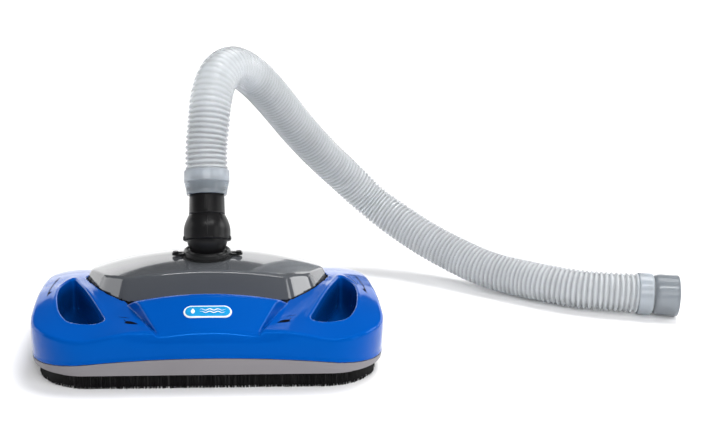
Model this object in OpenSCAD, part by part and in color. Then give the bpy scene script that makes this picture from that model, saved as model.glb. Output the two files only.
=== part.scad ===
// Suction pool cleaner: a wide bristle-skirted head, a tilting and turning
// hose swivel, and a leader hose that arches back and lies on the floor.
// Millimetres, +Z up, origin on the floor under the middle of the head.

/* [Head] */
// Width of the blue shell
shell_width = 370; // [366:1:374]
// Depth of the blue shell, front to back
shell_depth = 258; // [256:1:260]
// Corner radius of the shell in plan
corner_radius = 62; // [58:1:64]
// Wall thickness of the moulded covers
wall = 3; // [2.5:0.5:3.5]
// Height of the bristles below the deck
bristle_height = 14; // [13:0.5:14]
// Thickness of the bristle ring
bristle_depth = 11; // [9:1:12]

/* [Swivel] */
// Radius of the ball
ball_radius = 23; // [22.5:0.5:23]
// Outer radius of the stem under the ball
stem_radius = 18; // [17.5:0.5:18]
// Running clearance of the turning fits
running_gap = 0.06; // [0.04:0.01:0.09]
// Lean of the hose tube away from the vertical, in degrees
tube_lean = 22; // [18:1:22]

/* [Hose] */
// Outer radius of the hose
hose_radius = 24; // [23:0.5:24]
// Inner radius of the hose
hose_bore = 19; // [18:0.5:19.5]
// Bore radius of the far cuff, for a 38 mm hose spigot
cuff_bore = 19.1; // [19:0.1:19.3]

/* [Drive] */
// Gear module
gear_module = 1; // [1:1:1]
// Teeth on the small gears
pinion_teeth = 12; // [12:1:12]
// Teeth on the reduction gear
idler_teeth = 36; // [36:1:36]
// Teeth on the ring gear around the stem
ring_teeth = 72; // [72:1:72]
// Face width of the gears
gear_face = 5; // [4:0.5:5]

/* [Hidden] */
$fn = 64;
hull_fn = 32;

half_w = shell_width / 2;
half_d = shell_depth / 2;
swivel_y = 22;
shell_bottom = 14;
crease_z = 52;
wing_top_z = 67;
scoop_floor = 27;
deck_bottom = 15;
deck_floor = 4;
deck_top = deck_bottom + deck_floor;
rim_inset = 4.8;
lens_radius = 690;
lens_top = 31;
brush_side = 6;
backing_width = 5;
intake = [60, 46];
duct_wall = 3;
duct_top = 60;
throat_radius = 19;
throat_top = 78;
hammer_z = 50;
pin_radius = 2;
hood_top = 96;
hood_base = 66;
neck_top = 103;
ball_z = 116;
gear_z = 80;
low_gear_z = 62;
gear_backlash = 0.12;
idler_x = gear_module * (ring_teeth + pinion_teeth) / 2 + gear_backlash;
turbine_x = idler_x + gear_module * (idler_teeth + pinion_teeth) / 2 + gear_backlash;
turbine_radius = 20;
turbine_bottom = 24;
turbine_height = 30;
plate_z = 58;
port_z = 44;
port_radius = 7;
shaft_radius = 2.5;
collar_radius = 26.25;
collar_top = 26;
collar_shoulder = 14;
collar_drop = 3;
tube_radius = 19.5;
tube_end = 68;
sleeve_start = 46;
band_start = 62;
band_end = 76;
band_radius = 25.5;
far_band_length = 15.5;
far_gap = 1.5;
far_sleeve_length = 29;
spigot_radius = 21.44;
eps = 0.01;

// Route of the hose centreline, from the near cuff over the arch to the far cuff.
tube_start = [0, swivel_y + band_end * sin(tube_lean), ball_z + band_end * cos(tube_lean)];
hose_route = [tube_start, [0, 60, 212], [2.5, 69, 236], [5, 80, 260], [11, 95, 282], [21, 112, 293],
    [35, 132, 294], [55, 158, 280], [83, 196, 248], [119, 240, 201], [155, 270, 160], [192, 287, 124],
    [226, 287, 92], [260, 266, 69], [295, 236, 50], [330, 206, 36], [362, 175, 27], [396, 147, 24],
    [426, 121, 24], [457, 101, 24.5], [489, 88, 25.5], [520, 80, 25.5]];
hose_sides = 10;
far_turn = -14.5;

// ---- shared shapes ----

// Four upright corner posts; their hull is a rounded rectangle.
module posts(hw, front, rear, r, z, h = 1) {
    for (sx = [-1, 1], y = [front + r, rear - r])
        translate([sx * (hw - r), y, z]) cylinder(r = r, h = h, $fn = hull_fn);
}

// Plate with the shell's plan outline, smaller by "inset" all round and by "side" more at each side.
module exact_plate(inset, z, h, side = 0) {
    cx = half_w - corner_radius - side;
    cy = half_d - corner_radius;
    r = corner_radius - inset;
    for (sx = [-1, 1], sy = [-1, 1])
        translate([sx * cx, sy * cy, z]) cylinder(r = r, h = h);
    translate([-cx - r, -cy, z]) cube([2 * (cx + r), 2 * cy, h]);
    translate([-cx, -cy - r, z]) cube([2 * cx, 2 * (cy + r), h]);
}

// Long shallow drum across the head; it sets the curved lower edge of the shell.
module edge_drum(r) {
    translate([0, 0, lens_top - lens_radius]) rotate([90, 0, 0])
        cylinder(r = r, h = 2 * shell_depth, center = true, $fn = 360);
}

module ring(r_out, r_in, h, z = 0) {
    translate([0, 0, z]) difference() {
        cylinder(r = r_out, h = h);
        translate([0, 0, -1]) cylinder(r = r_in, h = h + 2);
    }
}

// Frame of the leaning tube: origin at the ball centre, +Z along the tube.
module tube_frame() {
    translate([0, swivel_y, ball_z]) rotate([-tube_lean, 0, 0]) children();
}

// Frame of the far cuff: origin at the end of the hose, +Z out of the mouth.
module far_frame() {
    translate(hose_route[len(hose_route) - 1]) rotate([0, 90, far_turn]) children();
}

// ---- gears ----

// Point of an involute at roll angle a, turned by t degrees.
function involute(rb, a, t) = let (roll = a * PI / 180)
    [rb * (cos(a + t) + roll * sin(a + t)), rb * (sin(a + t) - roll * cos(a + t))];

// Outline of one spur gear with 20 degree teeth, the first tooth on +X.
function gear_outline(m, teeth) = let (
    rp = m * teeth / 2, rb = rp * cos(20), tip = rp + 0.7 * m, root = rp - 1.2 * m,
    roll_p = tan(20) * 180 / PI, half = 90 / teeth - 2.2 / rp, base = half + roll_p - 20,
    roll_t = sqrt(tip * tip / (rb * rb) - 1) * 180 / PI,
    rise = [for (k = [0 : 3]) involute(rb, roll_t * k / 3, -base)],
    fall = [for (k = [3 : -1 : 0]) let (p = involute(rb, roll_t * k / 3, -base)) [p.x, -p.y]])
    [for (i = [0 : teeth - 1]) let (t = 360 * i / teeth)
        each [for (p = concat([[min(root, rb) * cos(base), -min(root, rb) * sin(base)]], rise, fall,
            [[min(root, rb) * cos(base), min(root, rb) * sin(base)]]))
            [p.x * cos(t) - p.y * sin(t), p.x * sin(t) + p.y * cos(t)]]];

module gear(teeth, bore, phase = 0) {
    difference() {
        rotate(phase) linear_extrude(gear_face) polygon(gear_outline(gear_module, teeth));
        translate([0, 0, -1]) cylinder(r = bore, h = gear_face + 2);
    }
}

// ---- head covers ----

// Outer form of the blue shell, grown inward by "g" for its inside.
module shell_form(g) {
    hull() {
        posts(half_w - 2 - g, 1 - half_d + g, half_d - 1 - g, corner_radius - g, shell_bottom - g * 5);
        posts(half_w - g, g - half_d, half_d - g, corner_radius - g, 44 - g);
        posts(half_w - 4 - g, 4 + g - half_d, half_d - 4 - g, corner_radius - 2 - g, crease_z - g);
    }
    hull() {
        posts(half_w - 5 - g, 5 + g - half_d, half_d - 5 - g, corner_radius - 2 - g, crease_z - g);
        posts(146 - g, g - 76, 66 - g, 30, wing_top_z - 1 - g);
    }
    brow_form(g);
}

// Raised pillow in front of the hood that carries the badge.
module brow_form(g) {
    hull() {
        for (sx = [-1, 1]) {
            translate([sx * (48 - g), -119 + g, 40 - g]) cylinder(r = 3, h = 19, $fn = 12);
            translate([sx * (66 - g), -86 + g, 75 - g]) sphere(r = 3, $fn = 12);
            translate([sx * (38 - g), -80 + g, 78 - g]) sphere(r = 5, $fn = 16);
            translate([sx * (78 - g), -50 - g, 64 - g]) sphere(r = 3, $fn = 12);
        }
    }
}

// Hand scoop pocket: wide at the front, narrow at the back.
module scoop_form(g) {
    for (sx = [-1, 1]) hull() {
        translate([sx * 140, -76, scoop_floor - g]) cylinder(r = 17 + g, h = 70, $fn = hull_fn);
        translate([sx * 116, -87, scoop_floor - g]) cylinder(r = 9 + g, h = 70, $fn = hull_fn);
        translate([sx * 149, -32, scoop_floor - g]) cylinder(r = 14 + g, h = 70, $fn = hull_fn);
        translate([sx * 152, 22, scoop_floor + 4 - g]) cylinder(r = 6 + g, h = 70, $fn = hull_fn);
    }
}

module blue_shell() {
    color("royalblue") difference() {
        shell_form(0);
        difference() {
            shell_form(wall);
            scoop_form(wall);
        }
        intersection() {
            scoop_form(0);
            translate([-half_w, -half_d, scoop_floor - 1]) cube([shell_width, shell_depth, 80]);
        }
        hood_form(-0.5);
        hood_form(-0.5, 30);
        edge_drum(lens_radius);
        for (sx = [-1, 1]) {
            translate([sx * 86, -102, 56]) rotate(sx * 35) cube([12, 5, 30], center = true);
            translate([sx * 178, 10, 56]) rotate(sx * -8) cube([5, 8, 20], center = true);
        }
    }
}

// Corners of the hood in plan, with the height of its crease and of its lower edge.
hood_points = [[40, -36, 90, 66], [92, -28, 83, 64], [109, -10, 79, 62], [130, 38, 71, 58], [104, 74, 70, 56],
    [50, 88, 74, 55]];

// The hood as one convex dome, smaller by "g" and carried down by "drop" past its lower edge.
module hood_form(g, drop = 0) {
    hull() {
        for (sx = [-1, 1], p = hood_points) {
            translate([sx * (p.x - g), p.y * (1 - g / 60) + g / 3, p[2] - g]) sphere(r = 3, $fn = 12);
            translate([sx * (p.x - g), p.y * (1 - g / 60) - 4 + g / 3, p[3] - drop]) cylinder(r = 2, h = 1, $fn = 12);
        }
        translate([0, swivel_y, hood_top - g - 1]) cylinder(r = 41 - g, h = 1, $fn = hull_fn);
    }
}

module hood() {
    color("dimgray") difference() {
        hood_form(0);
        hood_form(wall, 10);
        translate([0, swivel_y, hood_top - 20]) cylinder(r = 24.5, h = 40);
    }
}

module badge() {
    color("white") translate([0, -99.5, 71.7]) rotate([29, 0, 0]) hull()
        for (sx = [-1, 1]) translate([sx * 17, 0, 0]) cylinder(r = 8, h = 1.6, $fn = hull_fn);
}

module hood_clips() {
    color("black") for (sx = [-1, 1])
        translate([sx * 86, -102, 53]) rotate(sx * 35) cube([11, 4, 6], center = true);
}

module side_inserts() {
    color("black") for (sx = [-1, 1])
        translate([sx * 178, 10, 50]) rotate(sx * -8) cube([3.6, 6.6, 7], center = true);
}

// ---- deck and brush ----

module lower_deck() {
    color("silver") difference() {
        union() {
            difference() {
                exact_plate(rim_inset, deck_bottom, 27);
                exact_plate(rim_inset + wall, deck_top, 60);
            }
            difference() {
                intersection() {
                    exact_plate(0.8, deck_bottom, 20);
                    edge_drum(lens_radius - 0.3);
                }
                exact_plate(rim_inset, deck_top, 60);
            }
        }
        brush_band(0.05, deck_bottom - 1, 3.05, backing_width);
        translate([-intake.x / 2, swivel_y - intake.y / 2, 0]) cube([intake.x, intake.y, 40]);
        for (sy = [-1, 1]) translate([turbine_x, swivel_y + sy * 12, 0]) cylinder(r = 5, h = 40);
        deck_screw_places() cylinder(r = 2.1, h = 40);
    }
}

// Band that runs around the head at the bristle line, w wide; "grow" widens it both ways.
module brush_band(grow, z, h, w) {
    middle = 2 + bristle_depth / 2;
    difference() {
        exact_plate(middle - w / 2 - grow, z, h, brush_side);
        exact_plate(middle + w / 2 + grow, z - 1, h + 2, brush_side);
    }
}

module brush_backing() {
    color("black") brush_band(0, bristle_height, 3, backing_width);
}

module bristle_ring() {
    color("black") brush_band(0, 0, bristle_height, bristle_depth);
}

module glide_pads() {
    color("gray") for (sx = [-1, 1], sy = [-1, 1])
        translate([sx * 110, sy * 66, 5]) cylinder(r = 12, h = deck_bottom - 5);
}

module deck_screw_places() {
    for (sx = [-1, 1], sy = [-1, 1]) translate([sx * 140, sy * 88, 0]) children();
    for (sx = [-1, 1]) translate([sx * 52, -88, 0]) children();
}

module deck_screws() {
    color("silver") deck_screw_places() {
        translate([0, 0, deck_bottom - 2.5]) cylinder(r = 4, h = 2.5);
        translate([0, 0, deck_bottom]) cylinder(r = 2, h = 7);
    }
}

// ---- suction path ----

module intake_duct() {
    outer = [intake.x + 2 * duct_wall, intake.y + 2 * duct_wall];
    color("gainsboro") difference() {
        union() {
            translate([-outer.x / 2, swivel_y - outer.y / 2, deck_top])
                cube([outer.x, outer.y, duct_top - deck_top]);
            translate([0, swivel_y, duct_top - eps]) cylinder(r = throat_radius + duct_wall, h = throat_top - duct_top);
        }
        translate([-intake.x / 2, swivel_y - intake.y / 2, 0]) cube([intake.x, intake.y, duct_top - duct_wall]);
        translate([0, swivel_y, 0]) cylinder(r = throat_radius, h = 100);
        translate([0, 0, hammer_z]) rotate([90, 0, 0]) cylinder(r = pin_radius, h = 200, center = true);
        translate([0, swivel_y, port_z]) rotate([0, 90, 0]) cylinder(r = port_radius, h = 60);
    }
}

module strike_pads() {
    color("black") for (sx = [-1, 1])
        translate([sx * (intake.x / 2 - 4.5), swivel_y, 29]) cube([9, 30, 6], center = true);
}

module hammer_pin() {
    color("silver") translate([0, swivel_y, hammer_z]) rotate([90, 0, 0])
        cylinder(r = pin_radius, h = intake.y + 2 * duct_wall, center = true);
}

module hammer() {
    color("gold") translate([0, swivel_y + 19, hammer_z]) rotate([90, 0, 0]) difference() {
        linear_extrude(38) union() {
            circle(r = 7);
            polygon([[-6.6, -2], [-15, -22], [-12, -24], [12, -24], [15, -22], [6.6, -2]]);
        }
        translate([0, 0, -1]) cylinder(r = pin_radius + running_gap, h = 40);
        translate([0, 0, -1]) linear_extrude(40) polygon([[-5, -11], [-8, -19], [8, -19], [5, -11]]);
    }
}

// ---- steering drive ----

module turbine_housing() {
    port_x = intake.x / 2 + duct_wall;
    color("lightgray") difference() {
        union() {
            translate([turbine_x, swivel_y, deck_top]) cylinder(r = turbine_radius + 4.5, h = plate_z - deck_top);
            translate([port_x, swivel_y - 11, deck_top]) cube([turbine_x - port_x, 22, port_z + 9 - deck_top]);
        }
        translate([turbine_x, swivel_y, deck_top + wall]) cylinder(r = turbine_radius + 1.5, h = 60);
        translate([turbine_x, swivel_y, deck_top + 1]) cylinder(r = shaft_radius + running_gap, h = 10);
        for (sy = [-1, 1]) translate([turbine_x, swivel_y + sy * 12, 0]) cylinder(r = 5, h = 40);
        translate([port_x - 1, swivel_y, port_z]) rotate([0, 90, 0]) cylinder(r = port_radius, h = 15);
    }
}

module turbine_wheel() {
    color("orange") translate([turbine_x, swivel_y, turbine_bottom]) difference() {
        union() {
            cylinder(r = 6, h = turbine_height);
            for (i = [0 : 7]) rotate(45 * i)
                translate([0, -1, 1]) cube([turbine_radius, 2, turbine_height - 2]);
        }
        translate([0, 0, -1]) cylinder(r = shaft_radius, h = turbine_height + 2);
    }
}

module turbine_shaft() {
    color("silver") translate([turbine_x, swivel_y, deck_top + 1.2]) cylinder(r = shaft_radius, h = 51);
}

module turbine_pinion() {
    color("white") translate([turbine_x, swivel_y, low_gear_z])
        gear(pinion_teeth, shaft_radius, 180 + 180 / pinion_teeth);
}

module gear_plate() {
    color("gray") difference() {
        translate([intake.x / 2 + duct_wall + 0.5, swivel_y - 20, plate_z]) cube([58.5, 40, 3]);
        translate([turbine_x, swivel_y, 0]) cylinder(r = shaft_radius + running_gap, h = 100);
        translate([idler_x, swivel_y, 0]) cylinder(r = pin_radius, h = 100);
        plate_screw_places() cylinder(r = 1.5, h = 100);
    }
}

module plate_screw_places() {
    for (sy = [-1, 1]) translate([turbine_x + 15.8, swivel_y + sy * 15.8, 0]) children();
}

module gear_plate_screws() {
    color("silver") plate_screw_places() {
        translate([0, 0, plate_z]) cylinder(r = 1.5, h = 3);
        translate([0, 0, plate_z + 3]) cylinder(r = 2.8, h = 1.6);
    }
}

module idler_pin() {
    color("silver") translate([idler_x, swivel_y, plate_z]) cylinder(r = pin_radius, h = gear_z + 8 - plate_z);
}

module idler_gear() {
    color("white") translate([idler_x, swivel_y, low_gear_z]) {
        gear(idler_teeth, pin_radius + running_gap, 0);
        ring(4.2, pin_radius + running_gap, gear_z - low_gear_z - gear_face, gear_face);
        translate([0, 0, gear_z - low_gear_z])
            gear(pinion_teeth, pin_radius + running_gap, 180 + 180 / pinion_teeth);
    }
}

// ---- swivel ----

module swivel_flange() {
    color("darkslategray") translate([0, swivel_y, 0]) difference() {
        union() {
            cylinder_at(23.8, hood_top - 7, 7);
            cylinder_at(30, hood_top, 4);
            cylinder_at(20.8, hood_top + 3.9, neck_top - hood_top - 3.9);
            for (sx = [-1, 1]) {
                translate([sx * 33, 0, hood_top]) cylinder(r = 6.5, h = 3);
            }
        }
        translate([0, 0, 50]) cylinder(r = stem_radius + running_gap, h = 100);
        for (sx = [-1, 1]) translate([sx * 35.5, 0, 80]) cylinder(r = 1.6, h = 40);
    }
}

module cylinder_at(r, z, h) {
    translate([0, 0, z]) cylinder(r = r, h = h);
}

module flange_screws() {
    color("black") for (sx = [-1, 1]) translate([sx * 35.5, swivel_y, 0]) {
        cylinder_at(1.6, hood_top, 3);
        cylinder_at(3, hood_top + 3, 1.6);
    }
}

module thrust_washer() {
    color("white") translate([0, swivel_y, gear_z + gear_face + 0.4]) ring(23, stem_radius + running_gap, 3);
}

module ball_stem() {
    color("black") translate([0, swivel_y, 0]) difference() {
        union() {
            cylinder_at(stem_radius, throat_top + 0.6, neck_top + 1 - throat_top);
            difference() {
                translate([0, 0, ball_z]) sphere(r = ball_radius);
                cylinder_at(60, ball_z - 60, neck_top + 0.4 - ball_z + 60);
                cylinder_at(60, ball_z + 14, 60);
            }
        }
        cylinder_at(stem_radius - 3, throat_top, 60);
        difference() {
            translate([0, 0, ball_z]) sphere(r = ball_radius - 3.5);
            cylinder_at(60, ball_z - 60, neck_top + 3 - ball_z + 60);
        }
    }
}

module swivel_gear() {
    color("white") translate([0, swivel_y, gear_z]) gear(ring_teeth, stem_radius, 0);
}

// ---- hose end on the tilting tube ----

module socket_collar() {
    color("black") tube_frame() difference() {
        rotate_extrude() polygon(concat([[0, -collar_drop], [collar_radius, -collar_drop],
            [collar_radius, collar_top - collar_shoulder]],
            [for (a = [10 : 10 : 90]) [20 + (collar_radius - 20) * cos(a),
                collar_top - collar_shoulder + collar_shoulder * sin(a)]],
            [[0, collar_top]]));
        sphere(r = ball_radius + running_gap);
        cylinder_at(tube_radius - 3, 0, 60);
        cylinder_at(ball_radius + running_gap, -20, 20);
    }
}

module hose_tube() {
    color("black") tube_frame() ring(tube_radius, tube_radius - 3, tube_end - collar_top, collar_top);
}

module cuff_seal() {
    color("dimgray") tube_frame() ring(tube_radius + 1.4, tube_radius, 3, sleeve_start + 6);
}

module cuff_sleeve() {
    color("lightsteelblue") tube_frame() difference() {
        rotate_extrude() polygon([[0, sleeve_start], [22.2, sleeve_start], [22.6, sleeve_start + 5],
            [25.3, band_start - 2], [25.3, band_start], [22, band_start], [22, band_end], [0, band_end]]);
        cylinder_at(tube_radius, 0, tube_end);
        cylinder_at(tube_radius - 3, 0, 100);
        cylinder_at(tube_radius + 1.4, sleeve_start + 6, 3);
    }
}

module cuff_band() {
    color("lightgray") tube_frame() ring(band_radius, 22, band_end - band_start, band_start);
}

// ---- hose ----

function unit(v) = v / norm(v);
function tangent(p, i) = unit(i == 0 ? p[1] - p[0] : i == len(p) - 1 ? p[i] - p[i - 1] : p[i + 1] - p[i - 1]);
function loop_ring(p, i, r) = let (t = tangent(p, i), u = unit(cross(t, [0, 1, 0])), v = cross(t, u))
    [for (k = [0 : hose_sides - 1]) let (a = 360 * k / hose_sides) p[i] + r * (cos(a) * u + sin(a) * v)];
function band_faces(a, b) = [for (k = [0 : hose_sides - 1]) let (n = (k + 1) % hose_sides)
    each [[a + k, b + k, b + n], [a + k, b + n, a + n]]];

module hose() {
    count = len(hose_route);
    inner = count * hose_sides;
    last = (count - 1) * hose_sides;
    points = [for (r = [hose_radius, hose_bore], i = [0 : count - 1]) each loop_ring(hose_route, i, r)];
    faces = concat(
        [for (i = [0 : count - 2]) each band_faces(i * hose_sides, (i + 1) * hose_sides)],
        [for (i = [0 : count - 2]) each band_faces(inner + (i + 1) * hose_sides, inner + i * hose_sides)],
        band_faces(inner, 0), band_faces(last, inner + last));
    color("whitesmoke") polyhedron(points, faces);
}

module far_band() {
    color("lightgray") far_frame() ring(25, spigot_radius + running_gap, far_band_length);
}

module far_sleeve() {
    start = far_band_length + far_gap;
    end = start + far_sleeve_length;
    color("slategray") far_frame() difference() {
        union() {
            cylinder_at(spigot_radius, 2, start - 2);
            rotate_extrude() polygon([[0, start], [22.5, start], [23.3, start + 8], [23.6, start + 16],
                [24.9, end - 6], [25, end], [0, end]]);
        }
        cylinder_at(cuff_bore, 0, 100);
    }
}

// ---- trim for balance ----

module float_blocks() {
    color("white") difference() {
        for (sx = [-1, 1]) translate([sx * 124 - 25, 48, deck_top]) cube([50, 44, 34]);
        deck_screw_places() cylinder(r = 2.1, h = 26);
    }
}

module ballast_weight() {
    color("gray") translate([0, -52, deck_top + 5]) cube([90, 34, 10], center = true);
}

blue_shell();
hood();
lower_deck();
brush_backing();
bristle_ring();
badge();
hood_clips();
side_inserts();
glide_pads();
deck_screws();
intake_duct();
strike_pads();
hammer_pin();
hammer();
turbine_housing();
turbine_wheel();
turbine_shaft();
turbine_pinion();
gear_plate();
gear_plate_screws();
idler_pin();
idler_gear();
swivel_flange();
flange_screws();
thrust_washer();
ball_stem();
swivel_gear();
socket_collar();
hose_tube();
cuff_seal();
cuff_sleeve();
cuff_band();
hose();
far_band();
far_sleeve();
float_blocks();
ballast_weight();
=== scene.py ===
import math

import bpy
import numpy as np
from mathutils import Matrix, Vector


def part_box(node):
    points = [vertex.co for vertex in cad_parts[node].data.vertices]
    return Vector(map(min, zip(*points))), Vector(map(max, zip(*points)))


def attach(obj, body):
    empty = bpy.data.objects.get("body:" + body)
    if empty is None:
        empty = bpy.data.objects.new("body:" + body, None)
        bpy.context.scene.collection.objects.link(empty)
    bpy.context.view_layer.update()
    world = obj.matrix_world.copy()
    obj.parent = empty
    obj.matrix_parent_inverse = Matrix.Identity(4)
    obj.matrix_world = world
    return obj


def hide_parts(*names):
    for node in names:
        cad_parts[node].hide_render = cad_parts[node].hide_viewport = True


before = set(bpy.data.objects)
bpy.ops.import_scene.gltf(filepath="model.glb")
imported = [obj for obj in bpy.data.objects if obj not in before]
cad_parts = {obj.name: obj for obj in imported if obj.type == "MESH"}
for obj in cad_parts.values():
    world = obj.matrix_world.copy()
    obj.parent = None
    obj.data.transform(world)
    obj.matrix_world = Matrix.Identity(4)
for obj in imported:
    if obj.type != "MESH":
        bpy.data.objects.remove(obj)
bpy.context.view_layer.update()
MM = 0.001

# ---------------------------------------------------------------- camera

swivel_low, swivel_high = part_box("swivel_flange")
SWIVEL = (swivel_low + swivel_high) / 2
CAMERA_PITCH = math.radians(15.0)
CAMERA_TURN = math.radians(1.8)
CAMERA_PLACE = Vector((0.0015, SWIVEL.y - 1.1316, 0.435))


def make_camera():
    """Camera in front of the head, tilted down and turned a little to the right."""
    data = bpy.data.cameras.new("camera")
    data.sensor_width = 36.0
    data.lens = 53.0
    data.shift_x = 0.163
    camera = bpy.data.objects.new("camera", data)
    bpy.context.scene.collection.objects.link(camera)
    camera.location = CAMERA_PLACE
    camera.rotation_euler = (math.pi / 2 - CAMERA_PITCH, 0.0, -CAMERA_TURN)
    bpy.context.scene.camera = camera


make_camera()

# ---------------------------------------------------------------- mesh helpers


def add_mesh(name, points, faces, material, body, slot, smooth=True, normals=None):
    """A mesh piece in metres from points in millimetres; it rides on a CAD body."""
    mesh = bpy.data.meshes.new(name)
    mesh.from_pydata((np.asarray(points, float) * MM).tolist(), [], [tuple(f) for f in faces])
    mesh.validate()
    if smooth:
        mesh.shade_smooth()
    if normals is not None and len(mesh.vertices) == len(normals):
        mesh.normals_split_custom_set_from_vertices(np.asarray(normals, float).tolist())
    piece = bpy.data.objects.new(name, mesh)
    bpy.context.scene.collection.objects.link(piece)
    piece.data.materials.append(material)
    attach(piece, body)
    return piece


def grid_faces(rows, columns):
    """Quads of a grid of points laid out row by row."""
    starts = [row * columns + i for row in range(rows - 1) for i in range(columns - 1)]
    return [(k, k + 1, k + columns + 1, k + columns) for k in starts]


def ring_faces(rings, count, closed=False):
    """Quads between rings of count points; a closed stack also joins the last ring to the first."""
    faces = []
    for j in range(rings if closed else rings - 1):
        a, b = j * count, (j + 1) % rings * count
        for k in range(count):
            n = (k + 1) % count
            faces.append((a + k, a + n, b + n, b + k))
    return faces


def strip_faces(count):
    """Quads of a strip whose points come in pairs, one from each side."""
    return [(2 * i, 2 * i + 1, 2 * i + 3, 2 * i + 2) for i in range(count - 1)]


def unit_directions(line):
    """Direction along the line at each of its points."""
    direction = np.gradient(line, axis=0)
    return direction / np.linalg.norm(direction, axis=1)[:, None]


def join(parts):
    """One list of points and one of faces from several."""
    points, faces = [], []
    for more, more_faces in parts:
        shift = len(points)
        points += list(more)
        faces += [tuple(shift + i for i in f) for f in more_faces]
    return points, faces


def smooth_max(a, b, k):
    """The larger of two fields, blended over about k millimetres."""
    h = np.clip(0.5 + 0.5 * (a - b) / k, 0.0, 1.0)
    return b + (a - b) * h + k * h * (1.0 - h)


def smooth_min(a, b, k):
    """The smaller of two fields, blended over about k millimetres."""
    return -smooth_max(-a, -b, k)


def ramp(low, high, x):
    """Smooth step from 0 at low to 1 at high."""
    t = np.clip((x - low) / (high - low), 0.0, 1.0)
    return t * t * (3.0 - 2.0 * t)


def gradient(field, p, step=0.05):
    """Slope of the field at each point, by central differences."""
    columns = []
    for axis in range(3):
        offset = np.zeros(3)
        offset[axis] = step
        a = p + offset
        b = p - offset
        columns.append((field(a[:, 0], a[:, 1], a[:, 2]) - field(b[:, 0], b[:, 1], b[:, 2])) / (2 * step))
    return np.stack(columns, 1)


def surface_of(field, low, high, step):
    """Quads of the surface where field is 0, with points moved exactly onto it, and its normals."""
    axes = [np.arange(l, h + step, step) for l, h in zip(low, high)]
    grid = np.meshgrid(*axes, indexing="ij")
    value = field(*grid)
    inside = value < 0
    corners = [(i, j, k) for i in (0, 1) for j in (0, 1) for k in (0, 1)]
    size = [n - 1 for n in value.shape]

    def corner(array, c):
        return array[c[0]:c[0] + size[0], c[1]:c[1] + size[1], c[2]:c[2] + size[2]]

    count = sum(corner(inside, c).astype(np.int8) for c in corners)
    cells = np.argwhere((count > 0) & (count < 8))
    values = np.stack([value[tuple((cells + c).T)] for c in corners], 1)
    total = np.zeros((len(cells), 3))
    hits = np.zeros(len(cells))
    for a in range(8):
        for b in range(a + 1, 8):
            ca, cb = np.array(corners[a]), np.array(corners[b])
            if np.abs(ca - cb).sum() != 1:
                continue
            va, vb = values[:, a], values[:, b]
            cross = (va < 0) != (vb < 0)
            t = np.where(cross, va / np.where(cross, va - vb, 1.0), 0.0)
            total += np.where(cross[:, None], ca + t[:, None] * (cb - ca), 0.0)
            hits += cross
    base = np.array([a[0] for a in axes])
    points = base + step * (cells + total / hits[:, None])
    for _ in range(4):
        distance = field(points[:, 0], points[:, 1], points[:, 2])
        slope = gradient(field, points)
        move = distance[:, None] * slope / np.maximum((slope ** 2).sum(1), 0.05)[:, None]
        length = np.linalg.norm(move, axis=1)
        points -= move * np.minimum(1.0, 0.4 * step / np.maximum(length, 1e-9))[:, None]
    index = -np.ones(size, np.int64)
    index[tuple(cells.T)] = np.arange(len(cells))
    faces = []
    for axis in range(3):
        u, v = (axis + 1) % 3, (axis + 2) % 3
        first = [slice(None)] * 3
        second = [slice(None)] * 3
        first[axis] = slice(0, -1)
        second[axis] = slice(1, None)
        for other in (u, v):
            first[other] = second[other] = slice(1, -1)
        change = inside[tuple(first)] != inside[tuple(second)]
        at = np.argwhere(change)
        at[:, u] += 1
        at[:, v] += 1
        ring = []
        for du, dv in ((-1, -1), (0, -1), (0, 0), (-1, 0)):
            cell = at.copy()
            cell[:, u] += du
            cell[:, v] += dv
            ring.append(index[tuple(cell.T)])
        quad = np.stack(ring, 1)
        flip = ~inside[tuple(at.T)]
        quad[flip] = quad[flip][:, ::-1]
        faces.append(quad)
    normals = gradient(field, points)
    normals /= np.maximum(np.linalg.norm(normals, axis=1), 1e-9)[:, None]
    return points, np.concatenate(faces), normals


# ---------------------------------------------------------------- materials


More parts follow.
